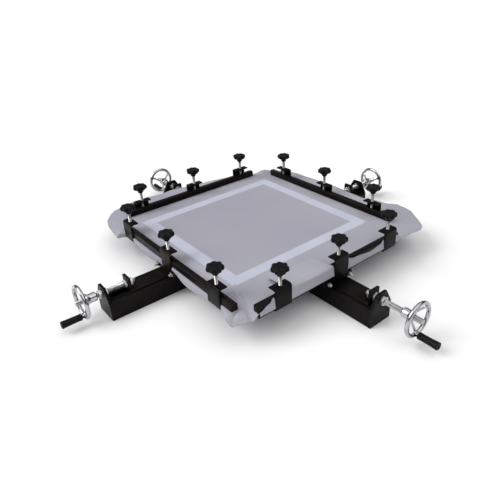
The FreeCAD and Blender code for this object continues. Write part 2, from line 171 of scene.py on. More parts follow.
def chrome():
    """Polished chrome plate over a cast wheel, with faint casting waves and smudges."""
    material, tree, shader = new_material("chrome")
    colour = ramp(tree, noise(tree, 40.0, 3.0), [(0.3, (0.40, 0.40, 0.42)), (0.7, (0.56, 0.56, 0.58))])
    tree.links.new(colour, shader.inputs["Base Color"])
    shader.inputs["Metallic"].default_value = 1.0
    rough = grey_ramp(tree, noise(tree, 55.0, 4.0), [(0.35, 0.06), (0.75, 0.2)])
    tree.links.new(rough, shader.inputs["Roughness"])
    bump(tree, shader, noise(tree, 130.0, 2.0), 0.0004, 0.25)
    return material


def black_plastic():
    """Moulded black phenolic with a fine grain."""
    material, tree, shader = new_material("black_plastic")
    colour = ramp(tree, noise(tree, 120.0, 4.0),
                  [(0.3, (0.002, 0.002, 0.003)), (0.75, (0.006, 0.006, 0.008))])
    tree.links.new(colour, shader.inputs["Base Color"])
    rough = grey_ramp(tree, noise(tree, 70.0, 4.0), [(0.3, 0.3), (0.7, 0.48)])
    tree.links.new(rough, shader.inputs["Roughness"])
    shader.inputs["Specular IOR Level"].default_value = 0.13
    bump(tree, shader, noise(tree, 1800.0, 2.0), 0.00008, 0.5)
    return material


def frame_white():
    """White sealed frame rails with a faint grain along them."""
    material, tree, shader = new_material("frame_white")
    grain = add_node(tree, "ShaderNodeMapping", Scale=(30.0, 30.0, 260.0))
    tree.links.new(place_of(tree), grain.inputs["Vector"])
    lines = noise(tree, 3.0, 5.0, grain.outputs["Vector"])
    colour = ramp(tree, lines, [(0.3, (0.80, 0.81, 0.84)), (0.7, (0.90, 0.91, 0.94))])
    tree.links.new(colour, shader.inputs["Base Color"])
    shader.inputs["Roughness"].default_value = 0.55
    bump(tree, shader, lines, 0.0002, 0.4)
    return material


def inside_band(tree, half_x, half_y, soft):
    """1 inside a rectangle about the middle of the machine, fading to 0 over the soft width."""
    split = add_node(tree, "ShaderNodeSeparateXYZ")
    tree.links.new(place_of(tree), split.inputs["Vector"])
    inside = None
    for axis, half in (("X", half_x), ("Y", half_y)):
        distance = maths(tree, "ABSOLUTE", split.outputs[axis])
        share = maths(tree, "DIVIDE", maths(tree, "SUBTRACT", half + soft / 2, distance), soft)
        clamped = add_node(tree, "ShaderNodeClamp")
        tree.links.new(share, clamped.inputs["Value"])
        value = clamped.outputs["Result"]
        inside = value if inside is None else maths(tree, "MULTIPLY", inside, value)
    return inside


def mesh_fabric():
    """Fine woven polyester: paler where the white frame lies under it, as painted light from the frame
    showing through the mesh, and greyer where nothing does.
    """
    material, tree, shader = new_material("mesh_fabric")
    half_x, half_y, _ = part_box("screen_frame")[1]
    in_outer = inside_band(tree, half_x - 2 * MM, half_y - 2 * MM, 4 * MM)
    in_inner = inside_band(tree, half_x - FRAME_RAIL, half_y - FRAME_RAIL, 5 * MM)
    # Painted light: the band over the frame's rails is masked out, so that the white frame's light coming
    # through the mesh is painted into its colour.
    painted_frame_light = maths(tree, "SUBTRACT", in_outer, in_inner)
    cloud = noise(tree, 3.2, 4.0)
    open_colour = ramp(tree, cloud, [(0.3, (0.30, 0.30, 0.36)), (0.7, (0.38, 0.375, 0.425))])
    inner_colour = ramp(tree, cloud, [(0.3, (0.31, 0.305, 0.37)), (0.7, (0.35, 0.345, 0.395))])
    # Paler, bluer colour for the band over the rails: painted light from the white frame under the mesh.
    painted_frame_light_colour = ramp(tree, noise(tree, 9.0, 4.0), [(0.3, (0.45, 0.475, 0.565)), (0.7, (0.51, 0.53, 0.62))])
    base = mix_colour(tree, in_inner, open_colour, inner_colour)
    base = mix_colour(tree, painted_frame_light, base, painted_frame_light_colour)
    # Darker along the hem. Right at its edge this is painted shade of the doubled hem, which is built
    # without thickness. A thin darker line also runs about 9 mm in.
    hem = add_node(tree, "ShaderNodeAttribute", attribute_name="hem")
    lines = grey_ramp(tree, hem.outputs["Fac"],
                      [(0.0, 0.75), (0.045, 1.0), (0.13, 1.0), (0.15, 0.80), (0.17, 1.0)])
    base = mix_colour(tree, 1.0, base, lines, "MULTIPLY")
    tree.links.new(base, shader.inputs["Base Color"])
    shader.inputs["Roughness"].default_value = 0.62
    shader.inputs["Specular IOR Level"].default_value = 0.3
    shader.inputs["Sheen Weight"].default_value = 0.25
    shader.inputs["Sheen Roughness"].default_value = 0.45
    weave = None
    for direction in ("X", "Y"):
        wave = add_node(tree, "ShaderNodeTexWave", wave_type="BANDS", bands_direction=direction,
                        Scale=WEAVE_PER_METRE / BANDS_PER_SCALE, Distortion=0.4)
        tree.links.new(place_of(tree), wave.inputs["Vector"])
        weave = wave.outputs["Fac"] if weave is None else maths(tree, "ADD", weave, wave.outputs["Fac"])
    height = maths(tree, "ADD", maths(tree, "MULTIPLY", weave, 0.25), noise(tree, 24.0, 3.0))
    bump(tree, shader, height, 0.0006, 0.35)
    return material


# ---------------------------------------------------------------- mesh building

def point(u, v, z):
    """A point of a side, before its turn."""
    return Vector((u, -v, z))


def add_grid(bm, rows, wrap=False, caps=False):
    """Faces between rows of points. wrap joins each row's ends, caps closes the first and last."""
    made = [[bm.verts.new(p) for p in row] for row in rows]
    for first, second in zip(made, made[1:]):
        count = len(first)
        for i in range(count if wrap else count - 1):
            j = (i + 1) % count
            bm.faces.new((first[i], first[j], second[j], second[i]))
    if caps:
        bm.faces.new(made[0][::-1])
        bm.faces.new(made[-1])
    return made


def ring(axis, centre, radii, height):
    """Closed row of points at the given height along an axis through centre, "up" or "out"."""
    u, v, z = centre
    row = []
    for i, radius in enumerate(radii):
        angle = 2 * math.pi * i / len(radii)
        a = radius * math.cos(angle)
        b = radius * math.sin(angle)
        row.append(point(u + a, v + b, z + height) if axis == "up" else point(u + a, v + height, z + b))
    return row


def add_lathe(bm, profile, axis, centre, steps=40):
    """Solid of revolution through (radius, height) pairs."""
    add_grid(bm, [ring(axis, centre, [r] * steps, h) for r, h in profile], wrap=True, caps=True)


def add_thread(bm, radius, pitch, depth, start, end, axis, centre, steps=24, per_turn=6):
    """Rod with a real helical thread, tapered at both ends."""
    count = max(2, round((end - start) / pitch * per_turn))
    rows = []
    for k in range(count + 1):
        height = start + (end - start) * k / count
        near_end = min(height - start, end - height)
        limit = radius - max(0.0, depth - near_end)
        radii = []
        for i in range(steps):
            phase = (height / pitch - i / steps) % 1.0
            crest = abs(2 * phase - 1)
            radii.append(min(limit, radius - depth * min(1.0, max(0.0, 1.5 * crest - 0.25))))
        rows.append(ring(axis, centre, radii, height))
    add_grid(bm, rows, wrap=True, caps=True)


def add_hex(bm, flats, start, end, bore, axis, centre, steps=72):
    """Hexagon nut with a bore and chamfered corners."""
    corner = flats / math.sqrt(3)
    chamfer = (corner - flats / 2) * 0.62

    def hexagon(limit):
        radii = []
        for i in range(steps):
            angle = (2 * math.pi * i / steps + math.pi / 6) % (math.pi / 3) - math.pi / 6
            radii.append(min(limit, flats / 2 / math.cos(angle)))
        return radii

    top = corner - (corner - flats / 2) * 1.15
    rows = [ring(axis, centre, [bore + 0.6 * MM] * steps, start)]
    rows.append(ring(axis, centre, hexagon(top), start))
    for share in (0.5, 1.0):
        rows.append(ring(axis, centre, hexagon(top + (corner - top) * share), start + chamfer * share))
    for share in (1.0, 0.5):
        rows.append(ring(axis, centre, hexagon(top + (corner - top) * share), end - chamfer * share))
    rows.append(ring(axis, centre, hexagon(top), end))
    rows.append(ring(axis, centre, [bore + 0.6 * MM] * steps, end))
    rows.append(ring(axis, centre, [bore] * steps, end - 0.6 * MM))
    rows.append(ring(axis, centre, [bore] * steps, start + 0.6 * MM))
    rows.append(rows[0])
    add_grid(bm, rows, wrap=True)
    bmesh.ops.remove_doubles(bm, verts=bm.verts, dist=1e-7)


def add_extrusion(bm, outline, start, end, place, round_edge=0.0):
    """Prism from a flat outline. place turns (a, b, distance) into a point."""
    first = [bm.verts.new(place(a, b, start)) for a, b in outline]
    second = [bm.verts.new(place(a, b, end)) for a, b in outline]
    count = len(outline)
    for i in range(count):
        j = (i + 1) % count
        bm.faces.new((first[i], first[j], second[j], second[i]))
    caps = [bm.faces.new(first[::-1]), bm.faces.new(second)]
    if round_edge:
        edges = list({edge for face in caps for edge in face.edges})
        bmesh.ops.bevel(bm, geom=edges, offset=round_edge, segments=2, profile=0.5, affect="EDGES")


def rounded_outline(corners, radii, steps=4):
    """Flat outline whose corners are replaced by arcs of the given radii."""
    points = []
    count = len(corners)
    for i in range(count):
        here = Vector(corners[i])
        back = (Vector(corners[i - 1]) - here).normalized()
        ahead = (Vector(corners[(i + 1) % count]) - here).normalized()
        radius = radii[i] if isinstance(radii, (list, tuple)) else radii
        if radius <= 0:
            points.append(tuple(here))
            continue
        half = back.angle(ahead) / 2
        reach = radius / math.tan(half)
        middle = here + (back + ahead).normalized() * (radius / math.sin(half))
        start = here + back * reach - middle
        end = here + ahead * reach - middle
        turn = start.angle_signed(end)
        for k in range(steps + 1):
            angle = -turn * k / steps
            cos, sin = math.cos(angle), math.sin(angle)
            points.append((middle.x + start.x * cos - start.y * sin,
                           middle.y + start.x * sin + start.y * cos))
    return points


def add_bar(bm, u0, u1, v0, v1, z0, z1, lower_round, upper_round):
    """Bar along u with rounded long edges and eased ends."""
    corners = [(v0, z0), (v1, z0), (v1, z1), (v0, z1)]
    outline = rounded_outline(corners, [lower_round, lower_round, upper_round, upper_round])
    add_extrusion(bm, outline, u0, u1, lambda v, z, u: point(u, v, z), 0.8 * MM)


def set_sharp(mesh, degrees=35.0):
    """Smooth shading that breaks at real corners."""
    bm = bmesh.new()
    bm.from_mesh(mesh)
    limit = math.radians(degrees)
    for edge in bm.edges:
        edge.smooth = len(edge.link_faces) == 2 and edge.calc_face_angle() < limit
    for face in bm.faces:
        face.smooth = True
    bm.to_mesh(mesh)
    bm.free()


def make_piece(name, bm, material, turn=0.0, solid=True):
    """Blender object from a mesh under construction, turned about Z into its place."""
    if solid:
        bmesh.ops.recalc_face_normals(bm, faces=bm.faces)
    mesh = bpy.data.meshes.new(name)
    bm.to_mesh(mesh)
    bm.free()
    mesh.transform(Matrix.Rotation(turn, 4, "Z"))
    mesh.materials.append(material)
    set_sharp(mesh)
    piece = bpy.data.objects.new(name, mesh)
    bpy.context.scene.collection.objects.link(piece)
    return piece


# ---------------------------------------------------------------- what the frame says

FRAME_RAIL = 39 * MM
WEAVE_PER_METRE = 900.0
BANDS_PER_SCALE = 10.0 / math.pi    # a wave texture's bands in a metre when its scale is 1


class Side:
    """Where one side's pieces lie, read from the CAD nodes."""

    def __init__(self, name, turn):
        self.name = name
        self.turn = math.radians(turn)
        lower = self.box("lower_jaw")
        upper = self.box("upper_jaw")
        self.u0, self.u1 = lower["u"]
        self.inner, self.outer = lower["v"]
        self.row = (self.inner + self.outer) / 2
        self.lower_z = lower["z"]
        self.upper_z = upper["z"]
        self.clamp_z = (lower["z"][1] + upper["z"][0]) / 2
        self.knobs = [self.box("knob_" + str(k)) for k in (1, 2, 3)]
        self.clamps = [sum(box["u"]) / 2 for box in self.knobs]
        self.clamp_box = self.box("clamp_brackets")

    def box(self, node):
        low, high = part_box(self.name + "_" + node)
        back = Matrix.Rotation(-self.turn, 3, "Z")
        corners = [back @ low, back @ high]
        return {
            "u": (min(c.x for c in corners), max(c.x for c in corners)),
            "v": (min(-c.y for c in corners), max(-c.y for c in corners)),
            "z": (low.z, high.z),
        }

    def world(self, u, v, z=0.0):
        return Matrix.Rotation(self.turn, 3, "Z") @ point(u, v, z)

    def add(self, name, bm, material, slot, body, node=None):
        piece = make_piece(self.name + "_" + name, bm, material, self.turn)
        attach(piece, self.name + "_" + body)
        if node:
            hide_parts(self.name + "_" + node)
        return piece


MATERIALS = {
    "black_paint": black_paint(),
    "zinc_steel": zinc_steel(),
    "chrome": chrome(),
    "black_plastic": black_plastic(),
    "frame_white": frame_white(),
    "mesh": mesh_fabric(),
}
SIDES = [Side("front", 0), Side("right", 90), Side("rear", 180), Side("left", 270)]

# ---- sizes of the details ----
SCREW_RADIUS = 8 * MM
SCREW_PITCH = 4 * MM
SCREW_THREAD_DEPTH = 1.6 * MM
STUD_RADIUS = 5 * MM
STUD_PITCH = 1.5 * MM
STUD_THREAD_DEPTH = 0.8 * MM
BOLT_RADIUS = 4 * MM
BOLT_PITCH = 1.25 * MM
NUT_FLATS = 24 * MM
BOLT_FLATS = 13 * MM
NUT_THICK = 7.5 * MM
FEED_NUT_THICK = 11 * MM          # the feed nut on an end bracket's outer face
WASHER_RADIUS = 14.5 * MM
WASHER_THICK = 2 * MM
BOLT_HEAD_THICK = 6.5 * MM
BOLT_NUT_OUT = 7 * MM             # how far a bolt reaches past its nut
EASE = 0.3 * MM                   # small rounding of turned edges
CLAMP_STEEL = 4 * MM
CLAMP_BEND = 6 * MM
CLAMP_WIDTH = 56 * MM
KNOB_HEIGHT = 28 * MM
KNOB_RADIUS = 24.6 * MM
KNOB_HOLLOW = 4.6 * MM            # depth of the hollows between a knob's lobes
KNOB_LOBES = 7
RIM_RADIUS = 6.0 * MM
WHEEL_DISH = 43 * MM              # from the hub's inner face out to the rim
SPOKE_ROOT = 20 * MM              # from the hub's inner face out to the spokes


# ---------------------------------------------------------------- base and frame

def add_edge_rounding(piece, width):
    """Eases the edges of a carried-over CAD node with modifiers, without touching its mesh."""
    weld = piece.modifiers.new("weld", "WELD")
    weld.merge_threshold = 1e-5
    flat = piece.modifiers.new("flat", "DECIMATE")
    flat.decimate_type = "DISSOLVE"
    flat.angle_limit = math.radians(1.0)
    ease = piece.modifiers.new("ease", "BEVEL")
    ease.width = width
    ease.segments = 3
    ease.limit_method = "ANGLE"
    ease.angle_limit = math.radians(40.0)
    ease.harden_normals = True


def use_cad_node(node, material, width):
    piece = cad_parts[node]
    piece.data.materials.clear()
    piece.data.materials.append(MATERIALS[material])
    add_edge_rounding(piece, width)


def build_base():
    use_cad_node("cross_base", "black_paint", 2.0 * MM)
    use_cad_node("screen_frame", "frame_white", 2.5 * MM)
    for side in SIDES:
        use_cad_node(side.name + "_end_bracket", "black_paint", 1.0 * MM)
        use_cad_node(side.name + "_carriage", "black_paint", 1.0 * MM)


def build_feed_nuts():
    bm = bmesh.new()
    for side in SIDES:
        plate = side.box("end_bracket")["v"]
        centre = (0.0, 0.0, side.screw_z)
        part = bmesh.new()
        add_hex(part, NUT_FLATS, plate[0] - NUT_THICK, plate[0], SCREW_RADIUS, "out", centre)
        add_hex(part, NUT_FLATS, plate[1], plate[1] + FEED_NUT_THICK, SCREW_RADIUS, "out", centre)
        bmesh.ops.rotate(part, verts=part.verts, cent=(0, 0, 0),
                         matrix=Matrix.Rotation(side.turn, 3, "Z"))
        mesh = bpy.data.meshes.new("part")
        part.to_mesh(mesh)
        part.free()
        bm.from_mesh(mesh)
        bpy.data.meshes.remove(mesh)
    piece = make_piece("feed_nut_set", bm, MATERIALS["zinc_steel"])
    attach(piece, "root")
    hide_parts("feed_nuts")


# ---------------------------------------------------------------- jaws and clamps

def build_bars(side):
    bm = bmesh.new()
    add_bar(bm, side.u0, side.u1, side.inner, side.outer, *side.lower_z, 1.2 * MM, 1.2 * MM)
    side.add("lower_bar", bm, MATERIALS["black_paint"], "black_paint", "slide", "lower_jaw")
    bm = bmesh.new()
    add_bar(bm, side.u0, side.u1, side.inner, side.outer, *side.upper_z, 1.2 * MM, 3.5 * MM)
    side.add("upper_bar", bm, MATERIALS["black_paint"], "black_paint", "clamp_bar", "upper_jaw")


def build_clamp(side, number, u):
    """Bent channel round the two bars."""
    v0, v1 = side.clamp_box["v"]
    z0, z1 = side.clamp_box["z"]
    foot = side.row - (side.outer - side.inner) / 2
    steel = CLAMP_STEEL
    corners = [(foot, z0), (v1, z0), (v1, z1), (v0, z1), (v0, z1 - steel), (v1 - steel, z1 - steel),
               (v1 - steel, z0 + steel), (foot, z0 + steel)]
    tight = 0.25 * MM
    radii = [0.8 * MM, CLAMP_BEND, CLAMP_BEND, 0.8 * MM, 0.8 * MM, tight, tight, 0.8 * MM]
    bm = bmesh.new()
    add_extrusion(bm, rounded_outline(corners, radii, 5), u - CLAMP_WIDTH / 2, u + CLAMP_WIDTH / 2,
                  lambda v, z, along: point(along, v, z), 0.7 * MM)
    side.add("clamp_" + str(number), bm, MATERIALS["black_paint"], "black_paint", "slide",
             "clamp_brackets")


def knob_radius(share, angle):
    """Radius of the head at a share of its height and an angle: seven soft lobes."""
    hollow = KNOB_HOLLOW * (0.5 - 0.5 * math.cos(KNOB_LOBES * angle)) ** 1.3
    return KNOB_RADIUS - hollow * share


def build_knob(side, number, u):
    box = side.knobs[number - 1]
    top = box["z"][1]
    body = "clamp_knob_" + str(number)
    centre = (u, side.row, 0.0)
    steps = KNOB_LOBES * 14
    neck_floor = top - KNOB_HEIGHT
    # height above the neck's underside, scale of the lobed radius, depth of the lobes
    profile = [(0.0, 0.30, 0.0), (0.4, 0.345, 0.0), (2.0, 0.375, 0.0), (5.0, 0.41, 0.0),
               (8.0, 0.50, 0.05), (10.5, 0.64, 0.25), (12.3, 0.80, 0.6), (13.6, 0.91, 0.9),
               (15.2, 0.975, 1.0), (17.5, 1.0, 1.0), (22.0, 1.0, 1.0), (24.6, 0.975, 1.0),
               (26.3, 0.92, 0.95), (27.3, 0.83, 0.8), (27.8, 0.70, 0.5), (28.0, 0.52, 0.1),
               (27.9, 0.44, 0.0), (27.2, 0.41, 0.0), (27.0, 0.36, 0.0), (27.2, 0.15, 0.0)]
    rows = []
    for height, scale, depth in profile:
        radii = [knob_radius(depth, 2 * math.pi * i / steps) * scale for i in range(steps)]
        rows.append(ring("up", centre, radii, neck_floor + height * MM))
    bm = bmesh.new()
    add_grid(bm, rows, wrap=True, caps=True)
    side.add("knob_head_" + str(number), bm, MATERIALS["black_plastic"], "black_plastic", body,
             "knob_" + str(number))
    bm = bmesh.new()
    add_thread(bm, STUD_RADIUS, STUD_PITCH, STUD_THREAD_DEPTH, side.upper_z[1] + 0.1 * MM,
               neck_floor + 3 * MM, "up", centre, 20, 5)
    side.add("knob_stud_" + str(number), bm, MATERIALS["zinc_steel"], "zinc_steel", body)


# ---------------------------------------------------------------- screw, wheel and grip

def build_screw(side):
    box = side.box("lead_screw")["v"]
    centre = (0.0, 0.0, side.screw_z)
    bm = bmesh.new()
    add_thread(bm, SCREW_RADIUS, SCREW_PITCH, SCREW_THREAD_DEPTH, box[0], box[1], "out", centre,
               28, 7)
    side.add("screw_thread", bm, MATERIALS["zinc_steel"], "zinc_steel", "drive", "lead_screw")


def build_lock_nuts(side):
    nuts = side.box("lock_nuts")["v"]
    centre = (0.0, 0.0, side.screw_z)
    bm = bmesh.new()
    inner_nut_end = nuts[0] + NUT_THICK
    washer_end = inner_nut_end + WASHER_THICK
    add_hex(bm, NUT_FLATS, nuts[0], inner_nut_end, SCREW_RADIUS, "out", centre)
    add_hex(bm, NUT_FLATS, nuts[1] - NUT_THICK, nuts[1], SCREW_RADIUS, "out", centre)
    washer = [(SCREW_RADIUS, inner_nut_end), (WASHER_RADIUS - EASE, inner_nut_end),
              (WASHER_RADIUS, inner_nut_end + EASE), (WASHER_RADIUS, washer_end - EASE),
              (WASHER_RADIUS - EASE, washer_end), (SCREW_RADIUS, washer_end),
              (SCREW_RADIUS, inner_nut_end)]
    add_grid(bm, [ring("out", centre, [r] * 48, h) for r, h in washer], wrap=True)
    bmesh.ops.remove_doubles(bm, verts=bm.verts, dist=1e-7)
    side.add("screw_nuts", bm, MATERIALS["zinc_steel"], "zinc_steel", "drive", "lock_nuts")


def wheel_mesh(side):
    """Dished three-spoke wheel about the origin, its axis out along -Y, blended where parts meet."""
    bm = bmesh.new()
    centre = (0.0, 0.0, 0.0)
    rim = side.screw_z - sum(side.box("grip")["z"]) / 2
    boss_end = side.box("grip")["v"][0] - side.box("handwheel")["v"][0] - 0.4 * MM
    rows = []
    for k in range(97):
        angle = 2 * math.pi * k / 96
        row = []
        for i in range(20):
            turn = 2 * math.pi * i / 20
            radius = rim + RIM_RADIUS * math.cos(turn)
            row.append(point(radius * math.sin(angle), WHEEL_DISH + RIM_RADIUS * math.sin(turn),
                             -radius * math.cos(angle)))
        rows.append(row)
    add_grid(bm, rows[:-1] + [rows[0]], wrap=True)
    bmesh.ops.remove_doubles(bm, verts=bm.verts, dist=1e-7)
    hub = [(12.4, 0.0), (13.6, 0.6), (14.0, 1.8), (14.0, 12.0), (13.4, 14.0), (13.4, 20.0), (14.0, 22.5),
           (14.0, 27.0), (13.2, 29.4), (11.4, 31.2), (8.8, 32.0)]
    add_lathe(bm, [(r * MM, h * MM) for r, h in hub], "out", centre, 48)
    for k in range(3):
        angle = 2 * math.pi * k / 3
        rows = []
        for j in range(9):
            share = j / 8
            radius = 8 * MM + (rim - 8 * MM) * share
            out = SPOKE_ROOT + (WHEEL_DISH - SPOKE_ROOT) * share ** 0.85
            thick = (5.4 - 1.3 * math.sin(math.pi * share)) * MM
            wide = (7.2 - 2.4 * math.sin(math.pi * share * 0.9)) * MM
            row = []
            for i in range(16):
                turn = 2 * math.pi * i / 16
                side_step = wide * math.cos(turn)
                row.append(point(radius * math.sin(angle) + side_step * math.cos(angle),
                                 out + thick * 0.8 * math.sin(turn),
                                 -radius * math.cos(angle) + side_step * math.sin(angle)))
            rows.append(row)
        add_grid(bm, rows, wrap=True, caps=True)
    boss = [(6.8 * MM, 40 * MM), (6.8 * MM, boss_end - 1.0 * MM), (6.0 * MM, boss_end)]
    add_lathe(bm, boss, "out", (0.0, 0.0, -rim), 32)
    bmesh.ops.recalc_face_normals(bm, faces=bm.faces)
    mesh = bpy.data.meshes.new("wheel_source")
    bm.to_mesh(mesh)
    bm.free()
    carrier = bpy.data.objects.new("wheel_source", mesh)
    bpy.context.scene.collection.objects.link(carrier)
    remesh = carrier.modifiers.new("join", "REMESH")
    remesh.mode = "VOXEL"
    remesh.voxel_size = 1.0 * MM
    smooth = carrier.modifiers.new("soften", "CORRECTIVE_SMOOTH")
    smooth.iterations = 12
    smooth.use_only_smooth = True
    smooth.factor = 0.5
    evaluated = carrier.evaluated_get(bpy.context.evaluated_depsgraph_get())
    made = bpy.data.meshes.new_from_object(evaluated)
    bpy.data.objects.remove(carrier)
    return made


def build_wheel(side, source):
    start = side.box("handwheel")["v"][0]
    mesh = source.copy()
    mesh.transform(Matrix.Translation(point(0.0, start, side.screw_z)))
    mesh.transform(Matrix.Rotation(side.turn, 4, "Z"))
    mesh.materials.clear()
    mesh.materials.append(MATERIALS["chrome"])
    for polygon in mesh.polygons:
        polygon.use_smooth = True
    piece = bpy.data.objects.new(side.name + "_wheel", mesh)
    bpy.context.scene.collection.objects.link(piece)
    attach(piece, side.name + "_drive")
    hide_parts(side.name + "_handwheel")


def build_grip(side):
    box = side.box("grip")
    start, end = box["v"]
    low = sum(box["z"]) / 2
    centre = (0.0, 0.0, low)
    shape = [(4.4, 0.0), (9.0, 0.0), (10.0, 0.5), (10.3, 1.6), (9.8, 4.0), (9.6, 12.0), (9.8, 30.0),
             (10.3, 44.0), (10.8, 51.0), (11.0, 54.0), (10.8, 56.0), (9.6, 57.0), (6.4, 57.0), (6.3, 56.6),
             (6.3, 52.8), (4.1, 52.7)]
    bm = bmesh.new()
    add_lathe(bm, [(r * MM, start + h * MM) for r, h in shape], "out", centre, 48)
    side.add("grip_sleeve", bm, MATERIALS["black_plastic"], "black_plastic", "handle", "grip")
    bm = bmesh.new()
    pin = [(4.0, -9.0), (4.0, 53.0), (6.0, 53.2), (6.0, 54.6), (5.2, 55.6), (3.0, 56.0)]
    add_lathe(bm, [(r * MM, start + h * MM) for r, h in pin], "out", centre, 32)
    side.add("grip_pin", bm, MATERIALS["black_paint"], "black_paint", "drive")


def build_bolts(side):
    box = side.box("carriage_bolts")
    v0, v1 = box["v"]
    z = sum(box["z"]) / 2
    offset = (box["u"][1] - box["u"][0]) / 2 - BOLT_FLATS / math.sqrt(3)
    bm = bmesh.new()
    for u in (-offset, offset):
        centre = (u, 0.0, z)
        nut_end = v1 - BOLT_NUT_OUT
        add_hex(bm, BOLT_FLATS, v0, v0 + BOLT_HEAD_THICK, 0.5 * MM, "out", centre)
        add_hex(bm, BOLT_FLATS, nut_end - BOLT_HEAD_THICK, nut_end, BOLT_RADIUS, "out", centre)
        add_thread(bm, BOLT_RADIUS, BOLT_PITCH, 0.6 * MM, v0 + 3 * MM, v1, "out", centre, 20, 5)
    side.add("bolts", bm, MATERIALS["zinc_steel"], "zinc_steel", "slide", "carriage_bolts")


# ---------------------------------------------------------------- stretched mesh

MESH_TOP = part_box("mesh_panel")[1].z - 0.3 * MM
FRAME_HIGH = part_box("screen_frame")[1]
SEAM_INSET = 6 * MM               # the level panel ends this far inside the frame's edge
PANEL_X = FRAME_HIGH.x - SEAM_INSET
PANEL_Y = FRAME_HIGH.y - SEAM_INSET
CLOTH_STEP = 12 * MM
HEM_SCALE = 1 / (60 * MM)         # the hem attribute is the distance from the hem over 60 mm
SHEETS = []


def smoothstep(x):
    x = min(1.0, max(0.0, x))
    return x * x * (3 - 2 * x)


def through(stops, x):
    """Value at x of a smooth curve through (place, value) pairs."""
    for (x0, y0), (x1, y1) in zip(stops, stops[1:]):
        if x <= x1:
            return y0 + (y1 - y0) * smoothstep((x - x0) / (x1 - x0))
    return stops[-1][1]


def cloth_piece(name, cells, turn=0.0):
    """Sheet from quads of ((x, y, z), hem distance) corners."""
    bm = bmesh.new()
    layer = bm.verts.layers.float.new("hem")
    known = {}

    def vertex(corner):
        place, hem = corner
        key = tuple(round(c * 1e6) for c in place)
        if key not in known:
            known[key] = bm.verts.new(place)
            known[key][layer] = min(1.0, hem * HEM_SCALE)
        return known[key]

    for cell in cells:
        corners = []
        for corner in cell:
            made = vertex(corner)
            if made not in corners:
                corners.append(made)
        if len(corners) > 2:
            try:
                bm.faces.new(corners)
            except ValueError:
                pass
    mesh = bpy.data.meshes.new(name)
    bm.to_mesh(mesh)
    bm.free()
    mesh.transform(Matrix.Rotation(turn, 4, "Z"))
    for polygon in mesh.polygons:
        polygon.use_smooth = True
    mesh.materials.append(MATERIALS["mesh"])
    piece = bpy.data.objects.new(name, mesh)
    bpy.context.scene.collection.objects.link(piece)
    SHEETS.append(piece)
    return piece


def grid_cells(rows, keep=None):
    cells = []
    for k, (first, second) in enumerate(zip(rows, rows[1:])):
        for i in range(len(first) - 1):
            if keep is None or keep(k, i):
                cells.append([first[i], first[i + 1], second[i + 1], second[i]])
    return cells


def spans(stops, step):
    """Places from the first stop to the last, none further apart than step."""
    places = [stops[0]]
    for start, end in zip(stops, stops[1:]):
        count = max(1, math.ceil((end - start) / step - 1e-6))
        places += [start + (end - start) * k / count for k in range(1, count + 1)]
    return places


def panel_height(x, y):
    """Level mesh over the frame, a hair lower between its rails."""
    inner_x = FRAME_HIGH.x - FRAME_RAIL
    inner_y = FRAME_HIGH.y - FRAME_RAIL
    edge = min(inner_x - abs(x), inner_y - abs(y))
    return MESH_TOP - 0.5 * MM * smoothstep(edge / (60 * MM))


def build_panel():
    xs = spans([-PANEL_X, PANEL_X], 14 * MM)
    ys = spans([-PANEL_Y, PANEL_Y], 14 * MM)
    rows = [[((x, y, panel_height(x, y)), 1.0) for x in xs] for y in ys]
    piece = cloth_piece("printing_mesh", grid_cells(rows))
    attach(piece, "root")
    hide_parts("mesh_panel")


# How far a side's loose mesh reaches past the bars' outer face, in metres, at places along u.
REACH = {
    "rear": [(-0.305, 0.101), (-0.272, 0.110), (-0.240, 0.113), (-0.205, 0.085), (-0.10, 0.070),
             (-0.02, 0.072), (0.11, 0.074), (0.20, 0.066), (0.305, 0.056)],
    "left": [(-0.283, 0.036), (-0.20, 0.060), (-0.12, 0.086), (-0.03, 0.102), (0.06, 0.112),
             (0.14, 0.118), (0.22, 0.114), (0.283, 0.102)],
}
DROOP = {"rear": -2 * MM, "left": 9 * MM}    # how far its hem lies below the jaw's grip
CLAMP_HALF = 28.6 * MM
CLAMP_BACK = 15.0 * MM            # from a bar's middle to just behind a clamp's outer face
TAIL_ROWS = 9


def crease(side, u, v):
    """Small tension creases that fan out from each clamp into the stretched mesh."""
    height = 0.0
    for centre in side.clamps:
        du = u - centre
        dv = side.inner + 6 * MM - v
        distance = math.hypot(du, dv)
        angle = math.atan2(dv, du)
        fan = math.exp(-distance / (45 * MM)) * math.cos(9 * angle)
        height += 0.9 * MM * fan * smoothstep(dv / (25 * MM))
    return height


def slope_share(side, v):
    """0 where the mesh leaves the frame's edge, 1 at the bars."""
    start = side.panel_edge + SEAM_INSET
    return max(0.0, (v - start) / (side.inner - start))


def slope_level(side, v):
    return MESH_TOP + (side.clamp_z - MESH_TOP) * slope_share(side, v)


def slope_point(side, share, a):
    """Point of the mesh between the frame and the bars: share 0 at the panel's edge, 1 at the bars."""
    half = side.panel_half
    u_in = -half + 2 * half * a
    u_out = side.u0 + (side.u1 - side.u0) * a
    v = side.panel_edge + (side.inner - side.panel_edge) * share
    u = u_in + (u_out - u_in) * share
    fade = math.sin(math.pi * min(1.0, slope_share(side, v)))
    edge_fade = smoothstep(a * 12) * smoothstep((1 - a) * 12)
    return point(u, v, slope_level(side, v) + crease(side, u, v) * fade * edge_fade)


